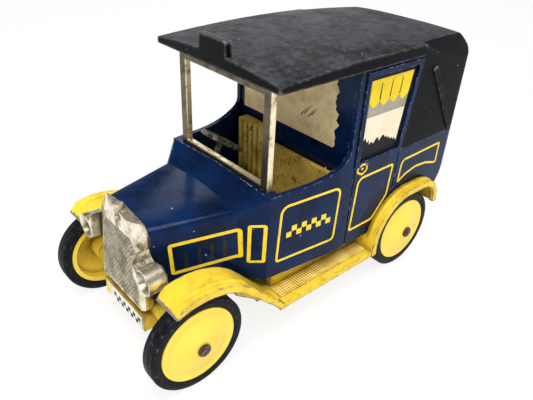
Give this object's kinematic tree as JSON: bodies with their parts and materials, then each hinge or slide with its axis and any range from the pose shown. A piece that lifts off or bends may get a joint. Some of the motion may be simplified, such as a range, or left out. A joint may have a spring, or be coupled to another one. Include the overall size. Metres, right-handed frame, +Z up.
{
  "type": "toy taxi",
  "caption": "Die-cast toy taxi of vintage style with an open driver's place, closed rear cabin under a black hood, plated radiator and free-rolling disc wheels on riveted axles.",
  "frame": {"origin": "on the ground under the middle of the object's box", "axes": "+Y to the rear of the car, +X to the car's left, +Z up"},
  "size_m": [0.0448, 0.0874, 0.0578],
  "materials": {
    "yellow_paint": "gloss enamel on die-cast zinc, chipped at the edges",
    "navy_paint": "gloss enamel on die-cast zinc, scuffed",
    "black_plastic": "satin moulded plastic, pale wear on the edges",
    "worn_plating": "dull bright plating with brown tarnish",
    "yellow_plastic": "moulded plastic, dirty in the corners",
    "brown_plastic": "moulded plastic with worn metallising",
    "printed_paper": "printed paper label, torn and faded",
    "rivet_steel": "plain steel with brown rust",
    "tyre_rubber": "matt black, dusty"
  },
  "bodies": {
    "car": {"chassis": "yellow_paint", "body_shell": "navy_paint", "interior_tub": "yellow_plastic", "roof": "black_plastic", "windscreen_frame": "worn_plating", "radiator": "worn_plating", "steering_wheel": "brown_plastic", "front_plate": "printed_paper", "partition_label": "printed_paper", "left_window_label": "printed_paper", "right_window_label": "printed_paper", "body_rivets": "rivet_steel", "front_axle": "rivet_steel", "rear_axle": "rivet_steel"},
    "front_left_wheel": {"front_left_disc": "yellow_plastic", "front_left_tyre": "tyre_rubber"},
    "front_right_wheel": {"front_right_disc": "yellow_plastic", "front_right_tyre": "tyre_rubber"},
    "rear_left_wheel": {"rear_left_disc": "yellow_plastic", "rear_left_tyre": "tyre_rubber"},
    "rear_right_wheel": {"rear_right_disc": "yellow_plastic", "rear_right_tyre": "tyre_rubber"}
  },
  "joints": [
    {"name": "front_left_spin", "type": "hinge", "parent": "car", "child": "front_left_wheel", "pos_m": [0.0172, -0.03385, 0.0099], "axis": [1, 0, 0], "continuous": true},
    {"name": "front_right_spin", "type": "hinge", "parent": "car", "child": "front_right_wheel", "pos_m": [-0.0172, -0.03385, 0.0099], "axis": [1, 0, 0], "continuous": true},
    {"name": "rear_left_spin", "type": "hinge", "parent": "car", "child": "rear_left_wheel", "pos_m": [0.0172, 0.02615, 0.0099], "axis": [1, 0, 0], "continuous": true},
    {"name": "rear_right_spin", "type": "hinge", "parent": "car", "child": "rear_right_wheel", "pos_m": [-0.0172, 0.02615, 0.0099], "axis": [1, 0, 0], "continuous": true}
  ]
}
